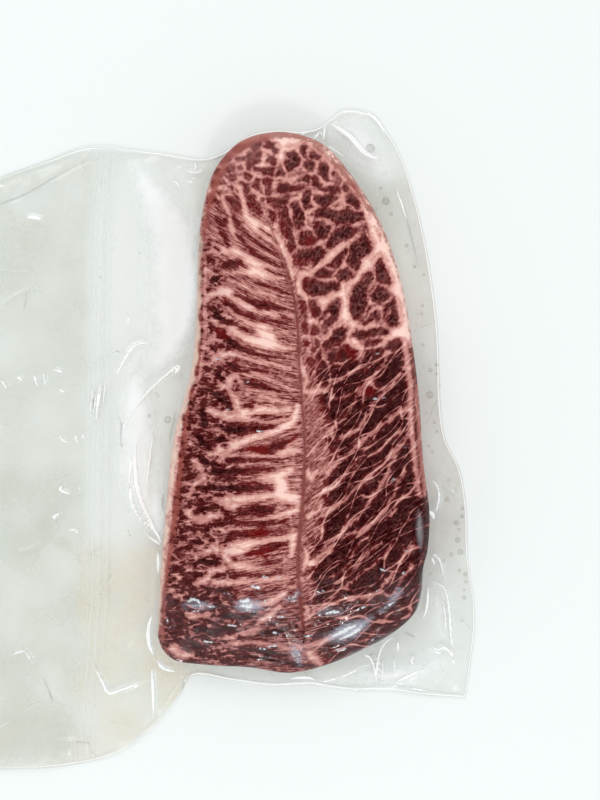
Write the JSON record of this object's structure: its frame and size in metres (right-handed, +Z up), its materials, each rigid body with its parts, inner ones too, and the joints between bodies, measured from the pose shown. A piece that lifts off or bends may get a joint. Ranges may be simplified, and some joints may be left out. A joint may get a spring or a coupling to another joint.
{
  "type": "vacuum-packed raw flat iron steak",
  "caption": "Raw marbled flat iron steak, a flat slab of two muscles along a gristle seam, sealed in a clear vacuum pouch with a loose mouth beside it.",
  "frame": {"origin": "on the ground, under the middle of the box round the whole pack", "axes": "+Z up; +X towards the pouch's sealed end and -X towards its mouth; +Y towards the steak's narrow end"},
  "size_m": [0.204, 0.252, 0.0227],
  "materials": {
    "raw_beef": "wet raw beef, dark red with a net of pale pink fat",
    "clear_film": "clear glossy plastic film with sharp creases"
  },
  "bodies": {
    "root": {"steak": "raw_beef", "vacuum_pouch": "clear_film"}
  },
  "joints": []
}
